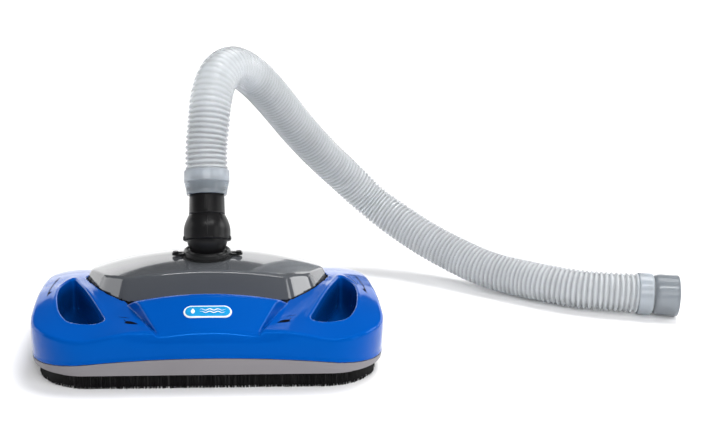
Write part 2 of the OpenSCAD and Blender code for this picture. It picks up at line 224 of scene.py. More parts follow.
class Shader:
    """A Principled material with a few short ways to add procedural detail."""

    def __init__(self, name, color, roughness, tint=(1.0, 1.0, 1.0), **sockets):
        self.material = bpy.data.materials.new(name)
        self.material.use_nodes = True
        self.nodes = self.material.node_tree.nodes
        self.links = self.material.node_tree.links
        self.shader = self.nodes["Principled BSDF"]
        self.set("Base Color", (*color, 1.0))
        self.set("Roughness", roughness)
        self.set("Specular Tint", (*tint, 1.0))
        for socket, value in sockets.items():
            self.set(socket.replace("_", " "), value)
        coordinates = self.nodes.new("ShaderNodeTexCoord")
        self.place = coordinates.outputs["Object"]

    def set(self, socket, value):
        self.shader.inputs[socket].default_value = value

    def noise(self, scale, detail=3.0, stretch=(1, 1, 1)):
        mapping = self.nodes.new("ShaderNodeMapping")
        mapping.inputs["Scale"].default_value = stretch
        texture = self.nodes.new("ShaderNodeTexNoise")
        texture.inputs["Scale"].default_value = scale
        texture.inputs["Detail"].default_value = detail
        self.links.new(self.place, mapping.inputs["Vector"])
        self.links.new(mapping.outputs["Vector"], texture.inputs["Vector"])
        return texture.outputs["Fac"]

    def between(self, factor, low, high):
        """Maps a factor from 0..1 to low..high."""
        node = self.nodes.new("ShaderNodeMapRange")
        node.inputs["From Min"].default_value = 0.3
        node.inputs["From Max"].default_value = 0.7
        node.inputs["To Min"].default_value = low
        node.inputs["To Max"].default_value = high
        self.links.new(factor, node.inputs["Value"])
        return node.outputs["Result"]

    def tint(self, factor, dark, light):
        """Colour that runs from dark to light as the factor goes from 0.3 to 0.7."""
        node = self.nodes.new("ShaderNodeValToRGB")
        node.color_ramp.elements[0].position = 0.3
        node.color_ramp.elements[0].color = (*dark, 1.0)
        node.color_ramp.elements[1].position = 0.7
        node.color_ramp.elements[1].color = (*light, 1.0)
        self.links.new(factor, node.inputs["Fac"])
        self.links.new(node.outputs["Color"], self.shader.inputs["Base Color"])

    def darken(self, attribute):
        """Scales the base colour by a number stored at the mesh's points, which paints shade into the
        colour.
        """
        stored = self.nodes.new("ShaderNodeAttribute")
        stored.attribute_name = attribute
        scale = self.nodes.new("ShaderNodeVectorMath")
        scale.operation = "SCALE"
        base = self.shader.inputs["Base Color"]
        self.links.new(base.links[0].from_socket, scale.inputs[0])
        self.links.new(stored.outputs["Fac"], scale.inputs["Scale"])
        self.links.new(scale.outputs[0], base)

    def rough(self, factor, low, high):
        self.links.new(self.between(factor, low, high), self.shader.inputs["Roughness"])

    def bump(self, factor, height, strength=1.0):
        node = self.nodes.new("ShaderNodeBump")
        node.inputs["Strength"].default_value = strength
        node.inputs["Distance"].default_value = height
        self.links.new(factor, node.inputs["Height"])
        self.links.new(node.outputs["Normal"], self.shader.inputs["Normal"])


def shade(color, k):
    """The colour k times as bright."""
    return tuple(min(1.0, c * k) for c in color)


def store(piece, attribute, values):
    """Keeps one number at each point of the piece's mesh."""
    layer = piece.data.attributes.new(attribute, "FLOAT", "POINT")
    layer.data.foreach_set("value", np.asarray(values, np.float32))


def plastic(name, color, roughness, coat=0.0, gloss=0.5, tint=(1.0, 1.0, 1.0), grain=0.0,
            grain_scale=900.0, dark=None):
    """Moulded plastic: faint colour drift, uneven gloss, an optional fine grain and optional painted shade
    from a stored number.
    """
    s = Shader(name, color, roughness, tint, Coat_Weight=coat, Coat_Roughness=0.04,
        Specular_IOR_Level=gloss)
    s.tint(s.noise(9.0, 2.0), shade(color, 0.95), shade(color, 1.05))
    s.rough(s.noise(45.0, 4.0), roughness * 0.8, roughness * 1.25)
    if dark:
        s.darken(dark)
    if grain:
        s.bump(s.noise(grain_scale, 2.0), grain)
    return s.material


def metal(name, color, roughness):
    """Drawn metal with fine marks along Z."""
    s = Shader(name, color, roughness, Metallic=1.0)
    s.tint(s.noise(60.0, 3.0), shade(color, 0.9), color)
    s.rough(s.noise(300.0, 3.0, (1, 1, 12)), roughness * 0.7, roughness * 1.4)
    s.bump(s.noise(700.0, 2.0, (1, 1, 14)), 0.00002)
    return s.material


def clear_plastic(name, color, roughness, through, dark=None):
    """Milky see-through plastic, with optional painted shade from a stored number."""
    s = Shader(name, color, roughness, Transmission_Weight=through, Subsurface_Weight=0.1)
    s.set("Subsurface Radius", (0.02, 0.022, 0.024))
    s.set("Subsurface Scale", 0.5)
    s.set("IOR", 1.45)
    s.tint(s.noise(14.0, 2.0), shade(color, 0.95), color)
    s.rough(s.noise(80.0, 3.0), roughness * 0.85, roughness * 1.2)
    if dark:
        s.darken(dark)
    return s.material


BLUE = (0.0004, 0.068, 0.345)
PEWTER = (0.075, 0.08, 0.088)
DECK_GREY = (0.2, 0.19, 0.2)
BLACK = (0.0085, 0.0085, 0.009)

# blue_plastic is darkened by the shell's stored shade number: painted shade in the hand scoops
blue_plastic = plastic("blue_plastic", BLUE, 0.1, gloss=0.4, dark="shade", tint=(0.02, 0.3, 0.9))
pewter_plastic = plastic("pewter_plastic", PEWTER, 0.1, coat=0.6)
deck_plastic = plastic("deck_plastic", DECK_GREY, 0.4, gloss=0.3, grain=0.00002)
black_plastic = plastic("black_plastic", BLACK, 0.34, gloss=0.2, grain=0.00002)
flange_plastic = plastic("flange_plastic", (0.012, 0.0125, 0.013), 0.3, gloss=0.25)
badge_white = plastic("badge_white", (0.78, 0.8, 0.82), 0.3)
badge_blue = plastic("badge_blue", (0.012, 0.26, 0.55), 0.25, tint=(0.1, 0.5, 0.9))
bristle_nylon = plastic("bristle_nylon", (0.007, 0.0068, 0.0072), 0.45, gloss=0.3)
# near-black colour painted into the shell's slots and windows as the shade inside them
slot_painted_shade = plastic("slot_painted_shade", (0.001, 0.0015, 0.006), 0.7, gloss=0.1)
rubber = plastic("rubber", (0.02, 0.02, 0.02), 0.65, grain=0.00005)
acetal = plastic("acetal", (0.72, 0.72, 0.70), 0.35)
amber = plastic("amber_plastic", (0.7, 0.36, 0.04), 0.35)
foam = plastic("foam", (0.8, 0.8, 0.78), 0.9, grain=0.0003, grain_scale=500.0)
steel = metal("steel", (0.6, 0.6, 0.61), 0.28)
iron = plastic("coated_iron", (0.1, 0.1, 0.1), 0.55, grain=0.0001, grain_scale=400.0)
# hose_plastic is darkened by the hose's stored shade number: painted shade in the rib valleys
hose_plastic = clear_plastic("hose_plastic", (0.86, 0.89, 0.91), 0.14, 0.7, "shade")
band_plastic = clear_plastic("band_plastic", (0.6, 0.65, 0.7), 0.2, 0.6)
cuff_plastic = clear_plastic("cuff_plastic", (0.5, 0.56, 0.61), 0.16, 0.7)
smoke_plastic = clear_plastic("smoke_plastic", (0.3, 0.33, 0.36), 0.14, 0.45)

# ---------------------------------------------------------------- hose

TUBE_LEAN = math.radians(22.0)
BALL = Vector((0.0, SWIVEL.y, 0.116)) / MM
BAND_END = 76.0
TUBE_START = (0.0, BALL.y + BAND_END * math.sin(TUBE_LEAN), BALL.z + BAND_END * math.cos(TUBE_LEAN))
HOSE_ROUTE = np.array([TUBE_START, (0, 60, 212), (2.5, 69, 236), (5, 80, 260), (11, 95, 282),
    (21, 112, 293), (35, 132, 294), (55, 158, 280), (83, 196, 248), (119, 240, 201), (155, 270, 160),
    (192, 287, 124), (226, 287, 92), (260, 266, 69), (295, 236, 50), (330, 206, 36), (362, 175, 27),
    (396, 147, 24.5), (426, 121, 24.5), (457, 101, 24.5), (489, 88, 25.5), (520, 80, 25.5)])
RIB_PITCH = 5.7
RIB_SAMPLES = 8
HOSE_CREST = 24.2
RIB_DEPTH = 3.0
RIB_ROUNDING = 0.55
# how strongly painted shade darkens the rib valleys
VALLEY_SHADE = 0.3
ARCH_START = (50.0, 100.0)
ARCH_END = (165.0, 205.0)
ARCH_STRETCH = 0.75
SMOOTHINGS = 60
HOSE_SIDES = 48
HOSE_SKIN = 1.3


def curve_through(points, step):
    """A centripetal Catmull-Rom curve through the points, lightly smoothed, in even steps."""
    p = np.vstack([2 * points[0] - points[1], points, 2 * points[-1] - points[-2]])
    dense = []
    for i in range(1, len(p) - 2):
        t = np.zeros(4)
        for j in range(1, 4):
            t[j] = t[j - 1] + np.linalg.norm(p[i - 1 + j] - p[i - 2 + j]) ** 0.5
        for s in np.linspace(t[1], t[2], 24, endpoint=False):
            level = [p[i - 1 + j] for j in range(4)]
            for span in (1, 2):
                level = [((t[j + span] - s) * level[j] + (s - t[j]) * level[j + 1]) / (t[j + span] - t[j])
                    for j in range(4 - span)]
            dense.append(((t[2] - s) * level[0] + (s - t[1]) * level[1]) / (t[2] - t[1]))
    dense = np.array(dense + [p[-2]])
    for _ in range(SMOOTHINGS):
        dense[1:-1] += 0.25 * (dense[:-2] + dense[2:] - 2 * dense[1:-1])
    along = np.concatenate([[0], np.cumsum(np.linalg.norm(np.diff(dense, axis=0), axis=1))])
    count = int(round(along[-1] / step)) + 1
    even = np.linspace(0, along[-1], count)
    return np.stack([np.interp(even, along, dense[:, k]) for k in range(3)], 1), even


def sweep(points, radii, sides):
    """Tube points and faces: one ring for each point, turned as little as possible."""
    tangents = unit_directions(points)
    side = np.cross(tangents[0], (1.0, 0.0, 0.0))
    side /= np.linalg.norm(side)
    angle = np.linspace(0, 2 * math.pi, sides, endpoint=False)
    rings = []
    for point, tangent, radius in zip(points, tangents, radii):
        side = side - tangent * np.dot(side, tangent)
        side /= np.linalg.norm(side)
        up = np.cross(tangent, side)
        rings.append(point + radius * (np.cos(angle)[:, None] * side + np.sin(angle)[:, None] * up))
    return np.concatenate(rings), ring_faces(len(points), sides)


def make_hose():
    """The corrugated hose: an outer and an inner skin joined at both ends; the cuffs go with it."""
    line, along = curve_through(HOSE_ROUTE, RIB_PITCH / RIB_SAMPLES)
    total = along[-1]
    ribs = round(total / RIB_PITCH)
    wave = 0.5 - 0.5 * np.cos(2 * math.pi * ribs * along / total)
    stretched = ramp(*ARCH_START, along) * (1.0 - ramp(*ARCH_END, along))
    depth = RIB_DEPTH * (1.0 - ARCH_STRETCH * stretched)
    radii = HOSE_CREST - depth * (1.0 - wave ** RIB_ROUNDING)
    points, faces = sweep(line, radii, HOSE_SIDES)
    inner, inner_faces = sweep(line, radii - HOSE_SKIN, HOSE_SIDES)
    shift = len(points)
    faces = faces + [tuple(shift + i for i in reversed(f)) for f in inner_faces]
    last = shift - HOSE_SIDES
    for k in range(HOSE_SIDES):
        n = (k + 1) % HOSE_SIDES
        faces.append((n, k, shift + k, shift + n))
        faces.append((last + k, last + n, shift + last + n, shift + last + k))
    points = np.concatenate([points, inner])
    piece = add_mesh("hose_corrugated", points, faces, hose_plastic, "hose_line", "clear_hose")
    # painted shade: the base colour darkens in the rib valleys, less so along the smooth arch
    shade_along = 1.0 - VALLEY_SHADE * (depth / RIB_DEPTH) * (1.0 - wave) ** 1.5
    store(piece, "shade", np.tile(np.repeat(shade_along, HOSE_SIDES), 2))
    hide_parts("hose")
    print("hose length mm", round(total, 1))


# ---------------------------------------------------------------- turned pieces


def lathe(profile, place, sides=96):
    """Points and faces of a closed profile (radius, height) turned about the place's Z axis."""
    profile = np.asarray(profile, float)
    angle = np.linspace(0, 2 * math.pi, sides, endpoint=False)
    count = len(profile)
    points = []
    for a in angle:
        points += [place @ Vector((r * math.cos(a), r * math.sin(a), h)) for r, h in profile]
    faces = []
    for i in range(sides):
        j = (i + 1) % sides
        for k in range(count):
            n = (k + 1) % count
            faces.append((i * count + k, j * count + k, j * count + n, i * count + n))
    return [tuple(p) for p in points], faces


def rounded(profile, radius, steps=3):
    """The closed profile with each corner turned into a small arc."""
    result = []
    count = len(profile)
    for i in range(count):
        before, here, after = (Vector((*profile[(i + k) % count], 0)) for k in (-1, 0, 1))
        a, b = before - here, after - here
        cut = min(radius, a.length * 0.45, b.length * 0.45)
        start, end = here + a.normalized() * cut, here + b.normalized() * cut
        for t in np.linspace(0, 1, steps + 1):
            p = start * (1 - t) ** 2 + here * 2 * t * (1 - t) + end * t * t
            result.append((p.x, p.y))
    return result


PAD_SINK = 0.4
PAD_SPREAD = 0.3


def pad(radius_at, angles, heights, lift, place, rows=9, columns=7):
    """A thin raised plate that follows a turned surface; its border sinks into the surface."""
    points = []
    for i, h in enumerate(np.linspace(*heights, rows)):
        for j, a in enumerate(np.linspace(*angles, columns)):
            border = i in (0, rows - 1) or j in (0, columns - 1)
            r = radius_at(h) + (-PAD_SINK if border else lift)
            if j == 0:
                a = a - PAD_SPREAD / r
            elif j == columns - 1:
                a = a + PAD_SPREAD / r
            points.append(tuple(place @ Vector((r * math.cos(a), r * math.sin(a), h))))
    return points, grid_faces(rows, columns)


TUBE = Matrix.Translation(BALL) @ Matrix.Rotation(-TUBE_LEAN, 4, "X")
FAR_AXIS = Vector((0.968148, -0.25038, 0.0))
FAR = Matrix.Translation(Vector(HOSE_ROUTE[-1])) @ FAR_AXIS.to_track_quat("Z", "Y").to_matrix().to_4x4()
FRONT = -math.pi / 2
BALL_BORE = 23.06
TUBE_BORE = 16.5
COLLAR_PROFILE = [(26.6, -3), (26.4, -1.5), (26.3, 8)] + [
    (20.2 + 6.1 * (1.0 - t ** 1.7), 8 + 18 * t) for t in np.linspace(0.12, 1, 9)]


def collar_radius(h):
    """Radius of the collar's outside at a height."""
    profile = sorted(COLLAR_PROFILE, key=lambda p: p[1])
    return float(np.interp(h, [p[1] for p in profile], [p[0] for p in profile]))


def make_collar():
    """Snap collar round the ball, with a raised seam in front and lugs on its lip."""
    inside = [(TUBE_BORE, 26), (TUBE_BORE, 16.2)] + [
        (math.sqrt(BALL_BORE ** 2 - h * h), h) for h in (15.2, 13, 10, 6, 2)] + [(BALL_BORE, -3)]
    parts = [lathe(COLLAR_PROFILE + inside, TUBE)]
    seam = FRONT - 0.02
    # each bar: its turn from the seam, half its width as an angle, its two heights and its lift
    bars = [(0.0, 0.04, (-1.6, 25.4), 0.9), (0.0, 0.248, (24.2, 26.0), 0.7),
        (0.0, 0.256, (-2.6, -0.9), 1.1), (0.44, 0.18, (-2.4, 0.4), 0.8),
        (-1.35, 0.16, (-2.9, 1.5), 1.0), (1.35, 0.16, (-2.9, 1.5), 1.0)]
    for turn, half, heights, lift in bars:
        angles = (seam + turn - half, seam + turn + half)
        parts.append(pad(collar_radius, angles, heights, lift, TUBE))
    piece = add_mesh("collar_moulding", *join(parts), black_plastic, "hose_line", "black_plastic")
    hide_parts("socket_collar")


def make_tube():
    """Tube above the collar, with shallow steps and a seam in front."""
    steps = [(20.3, 25.9)]
    for h in np.arange(28.0, 46.0, 3.2):
        steps += [(20.3 - 0.02 * (h - 28), h), (20.05 - 0.02 * (h - 28), h + 0.25)]
    steps += [(19.7, 47), (19.3, 47.5), (19.3, 68), (TUBE_BORE, 68), (TUBE_BORE, 25.9)]
    parts = [lathe(steps, TUBE)]
    parts.append(pad(lambda h: 20.2, (FRONT - 0.05, FRONT + 0.05), (26.2, 31), 0.9, TUBE))
    parts.append(pad(lambda h: 20.1, (FRONT - 0.11, FRONT - 0.05), (27, 46.5), 0.5, TUBE))
    piece = add_mesh("tube_moulding", *join(parts), black_plastic, "hose_line", "black_plastic")
    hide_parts("hose_tube")


def make_cuffs():
    """The sleeve and band at each end of the hose; returns what rides on the hose."""
    sleeve = rounded([(22.2, 48), (22.9, 49), (23.3, 53), (24.9, 60), (25.3, 62.4), (22.5, 62),
        (20.95, 56), (19.6, 55), (19.6, 48)], 0.8)
    near_sleeve = add_mesh("near_sleeve", *lathe(sleeve, TUBE), cuff_plastic, "hose_line", "clear_cuff")
    band = rounded([(25.3, 62), (25.8, 63), (25.8, 74.5), (25.0, 76.2), (24.3, 76.2), (22.2, 72),
        (22.2, 62)], 0.7)
    near_band = add_mesh("near_band", *lathe(band, TUBE), band_plastic, "hose_line", "clear_cuff")
    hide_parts("cuff_sleeve")
    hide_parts("cuff_band")
    band = rounded([(24.3, -0.6), (25.0, -0.6), (25.4, 1), (25.4, 13.5), (24.9, 15.5), (19.2, 15.5),
        (19.2, 11), (24.3, 11)], 0.8)
    far_band = add_mesh("far_band_ring", *lathe(band, FAR), band_plastic, "hose_line", "clear_cuff")
    sleeve = [(19.1, 17), (21.6, 17), (22.6, 17.5), (23.6, 19), (24.5, 21.5), (24.9, 25), (24.9, 36),
        (25.1, 42), (25.0, 44), (24.5, 44.8), (23.6, 45), (22.6, 44.2), (19.4, 43), (19.1, 42)]
    far_sleeve = add_mesh("far_sleeve_bell", *lathe(sleeve, FAR), smoke_plastic, "far_cuff", "smoke_cuff")
    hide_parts("far_band")
    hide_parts("far_sleeve")
    return [near_sleeve, near_band, far_band, far_sleeve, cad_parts["cuff_seal"]]


make_collar()
make_tube()
cuffs = make_cuffs()
make_hose()

# ---------------------------------------------------------------- hood and blue shell forms


def half_planes(corners, x, y, k, outward):
    """Field of a convex outline in plan, its corners rounded over k; x is taken as |x|."""
    ax = np.abs(x)
    total = None
    for (x0, y0), (x1, y1) in zip(corners, corners[1:]):
        length = math.hypot(x1 - x0, y1 - y0)
        distance = outward * ((ax - x0) * (y1 - y0) - (y - y0) * (x1 - x0)) / length
        total = distance if total is None else smooth_max(total, distance, k)
    return total


HOOD_CREASE = [(-20, -29.5), (60, -31), (87, -28), (112, -7), (133, 37), (127, 60), (104, 79), (50, 92),
    (-20, 95)]
HOOD_TOP = 96.3
HOOD_WALL = 3.6
NECK_HOLE = 24.6


def hood_plan(x, y):
    """Distance in plan from the crease around the hood's top."""
    return half_planes(HOOD_CREASE, x, y, 4.0, 1.0)


def hood_dome(x, y):
    """Height of the hood's top, which falls to the ends, the front and the rear."""
    front = 0.0009 * (y - 22.0) ** 2
    rear = 0.0035 * np.maximum(y - 30.0, 0.0) ** 2
    return HOOD_TOP - 20.0 * (np.abs(x) / 130.0) ** 2.2 - np.where(y < 22.0, front, 0.0) - rear


def hood_solid(x, y, z):
    """The hood as a solid: the dome above, sloping facets below its crease."""
    dome = hood_dome(x, y)
    wall = (hood_plan(x, y) - 0.6 * (dome - z)) / 1.166
    return smooth_max(wall, (z - dome) / 1.05, 2.2)


def hood_foot(x, y):
    """Height of the hood's lower edge, which rises at the ends."""
    rise = np.interp(np.abs(x), [68, 84, 112, 133], [0, 0, 3.5, 6])
    return 63.0 - 7.0 * ramp(60.0, 90.0, y) + rise * (1.0 - ramp(50.0, 85.0, y))


def hood_field(x, y, z):
    """The hood as a wall, open below, with a round hole for the swivel."""
    solid = hood_solid(x, y, z)
    field = np.maximum(solid, -(solid + HOOD_WALL))
    field = smooth_max(field, (hood_foot(x, y) - z) / 1.05, 0.8)
    return smooth_max(field, NECK_HOLE - np.hypot(x, y - BALL.y), 0.6)


def gap_shade_field(x, y, z):
    """Dark sheet under the hood's edge that closes the gap down into the shell; it paints the shade in that
    gap.
    """
    solid = hood_solid(x, y, z) + 1.6
    field = np.maximum(solid, -(solid + HOOD_WALL))
    field = smooth_max(field, 56.0 - z, 0.8)
    return smooth_max(field, z - hood_foot(x, y) - 2.0, 0.8)


SHELL_HALF = (185.0, 129.0)
SHELL_CORNER = 62.0
SHELL_WALL = 4.0
SCOOP_RIM = [(152, 35), (163, 8), (164.5, -22), (161, -50), (154, -77), (143, -93), (130, -98),
    (111, -97.5), (105, -90), (152, 35)]
SCOOP_FLOOR = 27.0
# how strongly painted shade darkens the deep part of a hand scoop
SCOOP_SHADE = 0.55
HOOD_GAP = 1.0
RIDGE_AT = ([-130, -78, -50, -22, 7, 40, 75], [52.5, 74, 85, 97.5, 117, 130, 141])


def outline(x, y):
    """Distance in plan from the rounded rectangle around the head."""
    qx = np.abs(x) - (SHELL_HALF[0] - SHELL_CORNER)
    qy = np.abs(y) - (SHELL_HALF[1] - SHELL_CORNER)
    corner = np.hypot(np.maximum(qx, 0.0), np.maximum(qy, 0.0))
    return corner + np.minimum(np.maximum(qx, qy), 0.0) - SHELL_CORNER


def side_draft(x, y, z):
    """How far the side wall leans in: a little below, more above in the middle of the front."""
    middle = (1.0 - ramp(50.0, 100.0, np.abs(x))) * (1.0 - ramp(-60.0, 0.0, y))
    below = 2.0 * ((45.0 - z) / 31.0) ** 2
    above = (1.0 + 5.0 * middle) * ((z - 45.0) / 16.0) ** 2
    bow = 2.5 * np.maximum(1.0 - (y / 75.0) ** 2, 0.0) * ramp(100.0, 150.0, np.abs(x)) * ramp(35.0, 60.0, z)
    return np.where(z < 45.0, below, above) - bow


def lower_edge(x):
    """Height of the shell's lower edge, a shallow arch across the head."""
    return 32.5 - x ** 2 / 2690.0


def scoop_plan(x, y):
    """Distance in plan from a hand scoop's rim."""
    return half_planes(SCOOP_RIM, x, y, 7.0, -1.0)


def wing_height(x, y):
    """Height of the shell's top beside and behind the brow."""
    ax = np.abs(x)
    outer_part = ramp(75.0, 130.0, ax)
    inner = 66.0 - 6.0 * np.clip((2.0 - y) / 128.0, 0.0, 1.2)
    outer = 68.0 - 16.0 * ((y + 5.0) / 122.0) ** 2
    front = inner + (outer - inner) * outer_part
    rear = smooth_min(66.0 + 2.0 * outer_part, 68.0 - 20.0 * ((y + 5.0) / 130.0) ** 2, 4.0)
    height = front + (rear - front) * ramp(-10.0, 20.0, y)
    height = height - 5.0 * (np.maximum(ax - 150.0, 0.0) / 35.0) ** 2
    ridge = np.interp(y, *RIDGE_AT)
    fall = np.minimum(1.1 * smooth_max(ridge - ax, 0.0, 1.5), 3.5)
    height = height - fall * (1.0 - ramp(-10.0, 10.0, y))
    return height + 0.8 * np.exp(-(scoop_plan(x, y) / 4.0) ** 2)


PANEL_SLOPE = 0.52


def panel_sag(x):
    """How far the badge panel has dropped at x from its middle line."""
    return 5.6 * (x / 65.0) ** 2


def brow_solid(x, y, z):
    """Raised pillow that carries the badge: a sloping front, a rounded top and steep sides."""
    sag = panel_sag(x)
    front = (z - (60.5 + PANEL_SLOPE * (y + 122.0) - sag)) / 1.127
    back = (z - (84.2 - 0.45 * (y + 76.0) - sag)) / 1.1
    top = smooth_max(front, back, 7.0)
    edge = 49.0 + 0.505 * (y + 125.0)
    ridge = 60.5 + PANEL_SLOPE * (np.minimum(y, -76.0) + 122.0) - panel_sag(edge)
    side = ((np.abs(x) - edge) + 0.07 * (z - ridge)) / 1.13
    return smooth_max(top, side, 2.0)


def shell_outside(x, y, z):
    """The shell's outer skin: side walls with a beaded lower edge, wings, brow and hand scoops."""
    bead = 0.7 * np.exp(-((z - lower_edge(x) - 1.5) / 1.6) ** 2)
    side = outline(x, y) + side_draft(x, y, z) - bead
    wing = (z - wing_height(x, y)) / 1.06
    body = smooth_max(side, smooth_min(wing, brow_solid(x, y, z), 1.2), 3.4)
    pocket = smooth_max(scoop_plan(x, y) + 0.06 * (66.0 - z), SCOOP_FLOOR - z, 10.0)
    return smooth_max(body, -pocket, 3.0)


def shell_field(x, y, z):
    """The shell as a wall, cut off at its lower edge and opened where the hood sits."""
    solid = shell_outside(x, y, z)
    field = np.maximum(solid, -(solid + SHELL_WALL))
    field = smooth_max(field, lower_edge(x) - z, 0.8)
    return smooth_max(field, HOOD_GAP - hood_solid(x, y, np.maximum(z, 60.0)), 0.8)


def make_cover(name, field, low, high, step, material, slot):
    """A piece of the head from its field; also returns its points."""
    points, faces, normals = surface_of(field, low, high, step)
    return add_mesh(name, points, faces, material, "head", slot, normals=normals), points


def make_covers():
    """The blue shell, the hood and the dark sheet that paints the shade in the gap under the hood's edge.
    """
    shell, points = make_cover("shell_moulding", shell_field, (-189, -133, 11), (189, 133, 88), 2.0,
        blue_plastic, "blue_plastic")
    x, y, z = points.T
    # painted shade: the base colour darkens deeper inside the hand scoops, where shade falls
    depth = ramp(2.0, 16.0, wing_height(x, y) - z) * (scoop_plan(x, y) < 1.5)
    store(shell, "shade", 1.0 - SCOOP_SHADE * depth)
    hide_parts("blue_shell")
    hood, _ = make_cover("hood_moulding", hood_field, (-142, -54, 52), (142, 116, 99), 1.7,
        pewter_plastic, "hood_plastic")
    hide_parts("hood")
    # painted shade: a black sheet fills the gap under the hood's edge
    make_cover("hood_gap_shade", gap_shade_field, (-142, -54, 52), (142, 116, 82), 2.5,
        black_plastic, "black_plastic")


make_covers()

# ---------------------------------------------------------------- flange, badge, brush and painted slot shade


def plate_with_hole(outer, inner, low, high):
    """A flat plate between two outlines that have the same number of points."""
    points = [(x, y, z) for z in (low, high) for x, y in list(outer) + list(inner)]
    count = len(outer)
    faces = []
    for k in range(count):
        n = (k + 1) % count
        a, b, c, d = k, n, count + n, count + k
        up = 2 * count
        faces += [(a, d, c, b), (a + up, b + up, c + up, d + up)]
        faces += [(a, b, b + up, a + up), (d, d + up, c + up, c)]
    return points, faces


def stadium(cx, cy, half_length, radius, count=32):
    """Outline of a slot shape that lies along X."""
    result = []
    for i in range(count):
        a = 2 * math.pi * (i + 0.5) / count
        shift = half_length if math.cos(a) > 0 else -half_length
        result.append((cx + shift + radius * math.cos(a), cy + radius * math.sin(a)))
    return result


SHARP_ANGLE = math.radians(40)


def make_flange():
    """Flange round the ball's foot, with a hollow rim and two ears with slots."""
    place = Matrix.Translation((0.0, BALL.y, 0.0))
    profile = [(29.4, 95.6), (29.4, 96.6), (28.8, 97.2), (26.6, 97.4), (26.5, 100.6), (26.0, 102.0),
        (25.0, 102.8), (24.0, 102.4), (22.8, 101.0), (21.9, 100.6), (21.3, 101.2), (20.8, 102.6),
        (20.1, 103.0), (19.4, 102.4), (18.1, 100.5), (18.1, 89), (23.8, 89), (23.8, 95.6)]
    parts = [lathe(profile, place)]
    for side in (-1, 1):
        outer = stadium(side * 31.4, BALL.y, 3.4, 4.9)
        inner = stadium(side * 32.4, BALL.y, 1.9, 2.9)
        parts.append(plate_with_hole(outer, inner, 96.6, 98.8))
    piece = add_mesh("flange_moulding", *join(parts), flange_plastic, "head", "dark_flange")
    piece.data.set_sharp_from_angle(angle=SHARP_ANGLE)
    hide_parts("swivel_flange")


BADGE_AT = (-99.7, 72.1)
BADGE_TILT = math.atan(PANEL_SLOPE)
BADGE_SIDES = 48
WAVE_LIFT = 1.66


def on_panel(u, v, lift):
    """A point on the badge panel: u to the right, v up the slope, lifted off it."""
    y = BADGE_AT[0] + v * math.cos(BADGE_TILT) - lift * math.sin(BADGE_TILT)
    z = BADGE_AT[1] + v * math.sin(BADGE_TILT) + lift * math.cos(BADGE_TILT) - panel_sag(u)
    return u, y, z


def badge_plate(half_length, radius, lift):
    """Stadium plate with a rounded edge that follows the panel."""
    steps = [(0.0, -0.6), (0.0, lift - 0.35), (0.35, lift), (radius * 0.5, lift), (radius - 0.01, lift)]
    points = []
    for inset, height in steps:
        ring = stadium(0, 0, half_length, radius - inset, BADGE_SIDES)
        points += [on_panel(u, v, height) for u, v in ring]
    faces = ring_faces(len(steps), BADGE_SIDES)
    faces.append(tuple(range(len(points) - BADGE_SIDES, len(points))))
    return points, faces


def ribbon(centre, half_width, lift):
    """Flat strip along a line of (u, v) points on the panel."""
    direction = unit_directions(centre)
    normal = np.stack([-direction[:, 1], direction[:, 0]], 1)
    points = []
    for p, n, w in zip(centre, normal, half_width):
        points += [on_panel(*(p + w * n), lift), on_panel(*(p - w * n), lift)]
    return points, strip_faces(len(centre))


def make_badge():
    """White-rimmed badge with a drop and two waves, without lettering."""
    rim = add_mesh("badge_rim", *badge_plate(16.6, 8.1, 1.1), badge_white, "head", "badge")
    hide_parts("badge")
    add_mesh("badge_field", *badge_plate(16.4, 6.6, 1.5), badge_blue, "head", "badge")
    waves = []
    for v in (1.6, -1.7):
        u = np.linspace(-8.0, 18.0, 40)
        line = np.stack([u, v + 0.9 * np.sin(u * 0.75)], 1)
        half_width = 0.55 * np.sin(np.linspace(0.15, math.pi - 0.15, 40))
        waves.append(ribbon(line, half_width, WAVE_LIFT))
    drop = np.stack([np.full(12, -15.0), np.linspace(-3.4, 3.6, 12)], 1)
    half_width = 2.4 * np.sin(np.linspace(0.05, math.pi - 0.02, 12)) ** 0.8 * np.linspace(1.1, 0.5, 12)
    waves.append(ribbon(drop, half_width, WAVE_LIFT))
    add_mesh("badge_waves", *join(waves), badge_white, "head", "badge")


BRUSH_HALF = (171.5, 121.5)
BRUSH_CORNER = 54.5
BRUSH_TOP = 15.6
BRUSH_EDGE = 4.0
TUFT_PITCH = 3.4
TUFT_BLADES = 7


def ring_length(half, corner):
    """Length round a rounded rectangle."""
    return 4 * (half[0] + half[1] - 2 * corner) + 2 * math.pi * corner


def ring_point(distance, offset, half=BRUSH_HALF, corner=BRUSH_CORNER):
    """Point and outward direction on a rounded rectangle, offset outwards in plan."""
    hx, hy = half[0] - corner, half[1] - corner
    r = corner
    arc = math.pi * r / 2
    sides = [
        (2 * hx, "line", (-hx, -hy - r), (1, 0), (0, -1)),
        (arc, "arc", (hx, -hy), -math.pi / 2, None),
        (2 * hy, "line", (hx + r, -hy), (0, 1), (1, 0)),
        (arc, "arc", (hx, hy), 0.0, None),
        (2 * hx, "line", (hx, hy + r), (-1, 0), (0, 1)),
        (arc, "arc", (-hx, hy), math.pi / 2, None),
        (2 * hy, "line", (-hx - r, hy), (0, -1), (-1, 0)),
        (arc, "arc", (-hx, -hy), math.pi, None),
    ]
    distance = distance % sum(side[0] for side in sides)
    for length, kind, start, turn, out in sides:
        if distance <= length:
            break
        distance -= length
    if kind == "line":
        p = (start[0] + turn[0] * distance, start[1] + turn[1] * distance)
    else:
        a = turn + distance / r
        out = (math.cos(a), math.sin(a))
        p = (start[0] + r * out[0], start[1] + r * out[1])
    return p[0] + out[0] * offset, p[1] + out[1] * offset, out


